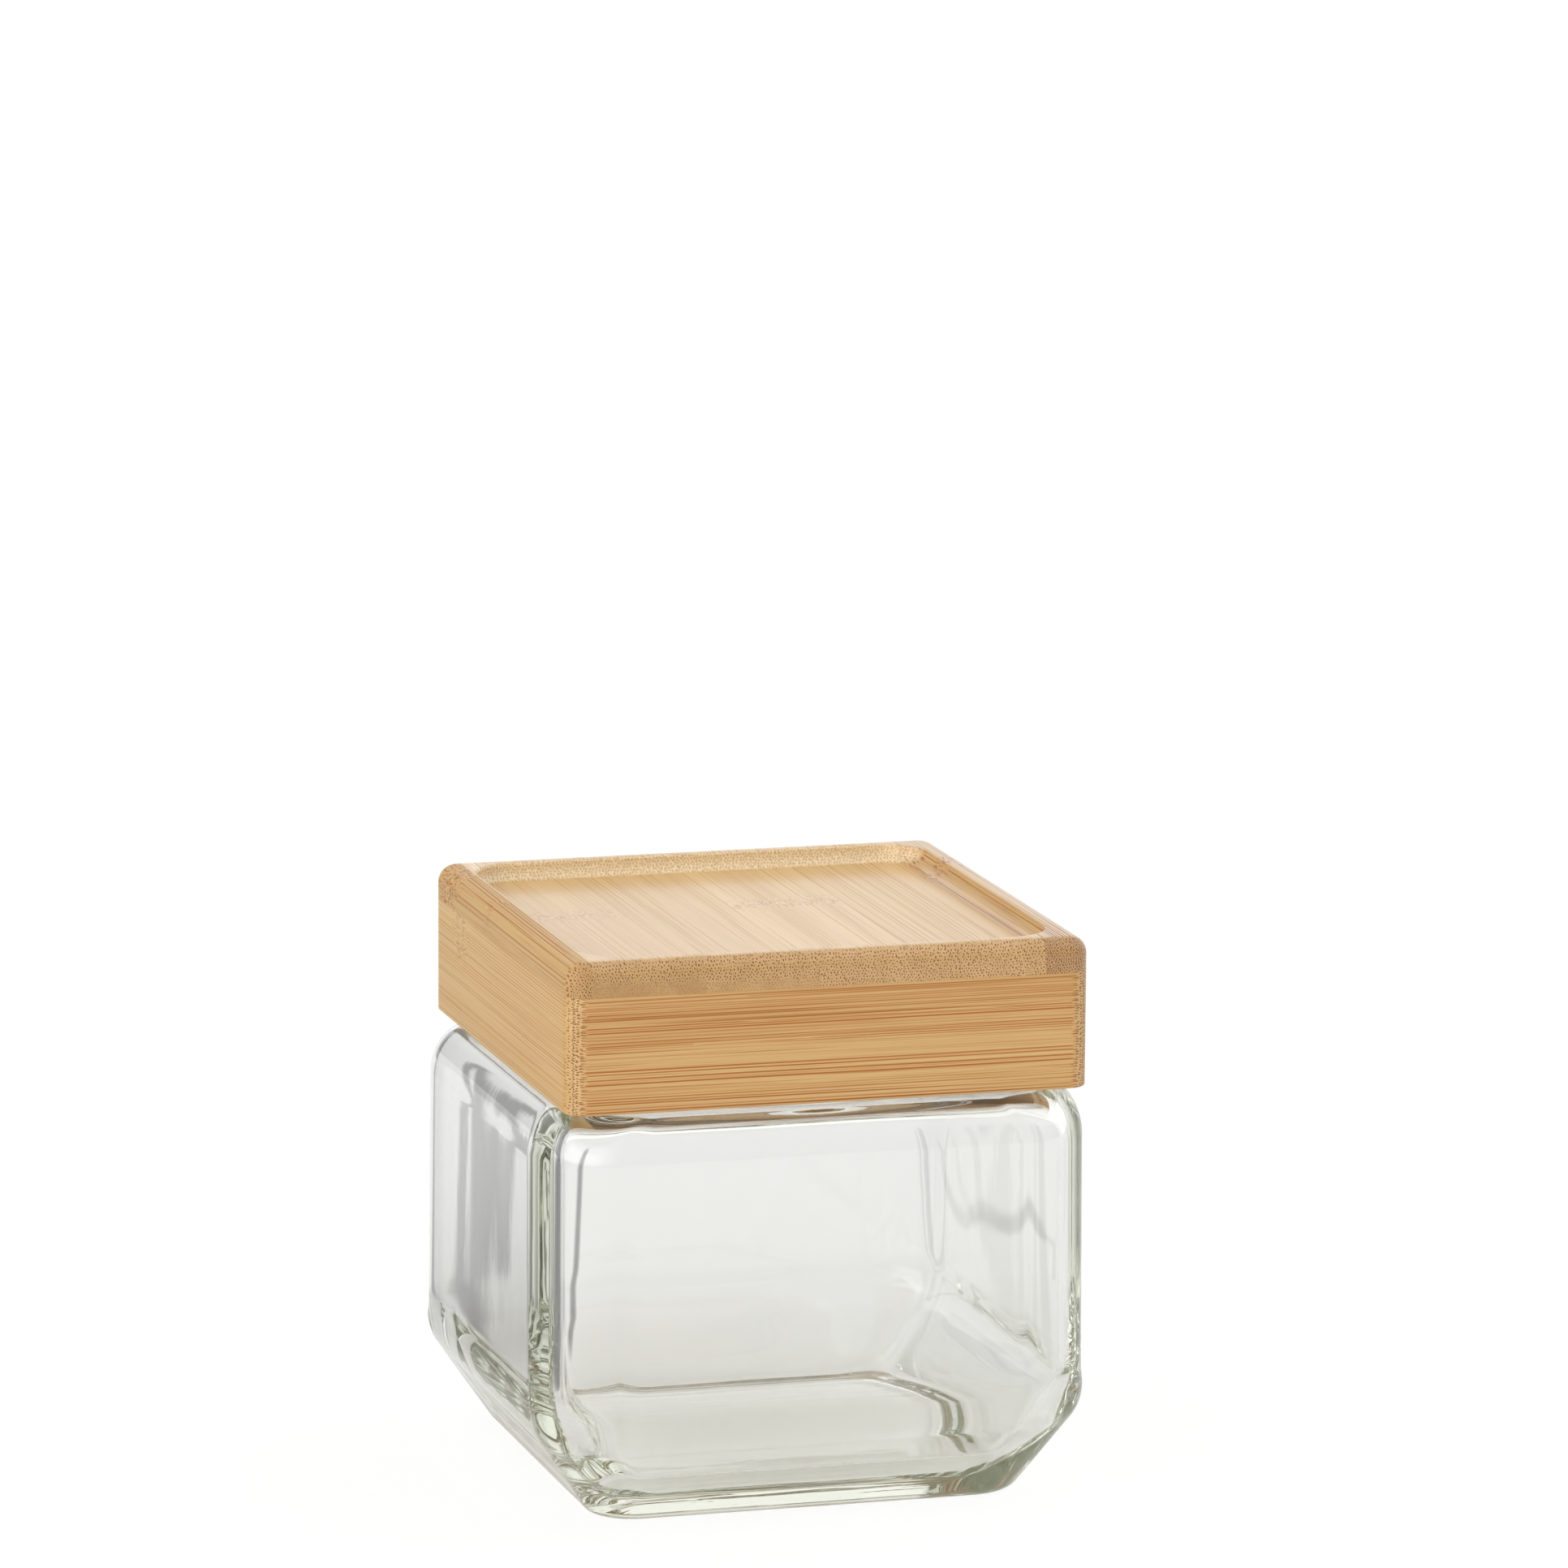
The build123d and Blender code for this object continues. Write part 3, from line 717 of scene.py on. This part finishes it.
behind = n.v("DOT_PRODUCT", where, heading(0.0))
aside = n.v("DOT_PRODUCT", where, heading(90.0))
deep = band(behind, 0.045, 0.080, 0.42, 0.60)
deep_right = band(behind, 0.0, 0.16, 0.42, 0.60)
through_left = n.m("MULTIPLY", band(aside, -0.0660, -0.0580, -0.0545, -0.0485), deep)
through_left_2 = n.m("MULTIPLY", band(aside, -0.0585, -0.0575, -0.0565, -0.0550), deep)
through_right = n.m("MULTIPLY", band(aside, 0.0610, 0.0670, 0.0740, 0.0820), deep_right)
through_right_2 = n.m("MULTIPLY", band(aside, 0.0545, 0.0562, 0.0580, 0.0600), deep)
far_left = n.m("MULTIPLY", band(level_turn(n, level), -98.0, -92.0, -58.0, -34.0), n.ease(far, 0.07, 0.14))
dim = n.m("MULTIPLY", far_left, 0.80)
# the last entry is painted shade: the floor round the jar's foot is up to 6% darker, easing out by 200 mm from the
# axis, seen by every ray except the camera's
for spot, how in ((through_left, 0.70), (through_left_2, 0.60), (through_right, 0.22), (through_right_2, 0.15), (n.ease(far, 0.20, 0.06), 0.06)):
    dim = n.m("MAXIMUM", dim, n.m("MULTIPLY", spot, how))
path = n.new("ShaderNodeLightPath")
seen = path.outputs["Is Camera Ray"]
plain = n.new("ShaderNodeBsdfDiffuse")
n.put(plain.inputs["Color"], n.mix(dim, (0.90, 0.90, 0.895, 1), (0.08, 0.08, 0.08, 1)))
shade = n.new("ShaderNodeBsdfDiffuse")
shade.inputs["Color"].default_value = (0.98, 0.98, 0.98, 1)
glow = n.new("ShaderNodeEmission")
glow.inputs["Color"].default_value = (1, 1, 1, 1)
glow.inputs["Strength"].default_value = 1.03
paper = n.new("ShaderNodeMixShader")
n.put(paper.inputs[0], 0.80)
n.put(paper.inputs[1], shade.outputs[0])
n.put(paper.inputs[2], glow.outputs[0])
mixer = n.new("ShaderNodeMixShader")
n.put(mixer.inputs[0], seen)
n.put(mixer.inputs[1], plain.outputs[0])
n.put(mixer.inputs[2], paper.outputs[0])
out = n.new("ShaderNodeOutputMaterial")
n.put(out.inputs["Surface"], mixer.outputs[0])
floor_mesh.materials.append(floor_mat)

world = bpy.data.worlds.new("studio")
scene.world = world
world.use_nodes = True
n = Net(world.node_tree)
coord = n.new("ShaderNodeTexCoord")
sky = coord.outputs["Generated"]
dx, dy, dz = n.split(sky)
level = n.v("NORMALIZE", n.v("MULTIPLY", sky, (1.0, 1.0, 0.0)))


def part(turn, outer, inner, *eases):
    """A soft patch of sky round a heading, cut off by height."""
    f = lobe(n, level, turn, outer, inner)
    for lo, hi in eases:
        f = n.m("MULTIPLY", f, n.ease(dz, lo, hi))
    return f


light = n.m("ADD", 0.65, n.m("MULTIPLY", part(18.0, 62.0, 25.0, (0.80, 0.35)), 0.50))
light = n.m("ADD", light, n.m("MULTIPLY", n.ease(dz, 0.70, 0.93), 0.32))
light = n.m("ADD", light, n.m("MULTIPLY", part(80.0, 55.0, 20.0, (0.30, 0.50), (0.97, 0.85)), 0.40))
light = n.m("ADD", light, n.m("MULTIPLY", part(238.0, 62.0, 25.0, (0.02, 0.16), (0.72, 0.50)), 1.75))
light = n.m("ADD", light, n.m("MULTIPLY", part(115.0, 65.0, 25.0, (0.75, 0.35)), -0.16))
light = n.m("ADD", light, n.m("MULTIPLY", part(-62.0, 42.0, 28.0, (0.55, 0.30)), -0.42))
bg_cam = n.new("ShaderNodeBackground")
bg_cam.inputs["Color"].default_value = (1, 1, 1, 1)
bg_cam.inputs["Strength"].default_value = 1.0
bg_light = n.new("ShaderNodeBackground")
n.put(bg_light.inputs["Strength"], light)
bg_light.inputs["Color"].default_value = (1, 1, 1, 1)
path = n.new("ShaderNodeLightPath")
mixer = n.new("ShaderNodeMixShader")
n.put(mixer.inputs[0], path.outputs["Is Camera Ray"])
n.put(mixer.inputs[1], bg_light.outputs[0])
n.put(mixer.inputs[2], bg_cam.outputs[0])
out = n.new("ShaderNodeOutputWorld")
n.put(out.inputs["Surface"], mixer.outputs[0])

scene.view_settings.view_transform = "Standard"
scene.view_settings.look = "None"
scene.view_settings.exposure = 0.0
scene.view_settings.gamma = 1.0
scene.cycles.use_denoising = True
scene.cycles.denoiser = "OPENIMAGEDENOISE"
scene.cycles.max_bounces = 40
scene.cycles.diffuse_bounces = 4
scene.cycles.glossy_bounces = 36
scene.cycles.transmission_bounces = 36
scene.cycles.transparent_max_bounces = 24
scene.cycles.volume_bounces = 0
scene.cycles.sample_clamp_indirect = 12.0
scene.cycles.blur_glossy = 0.2
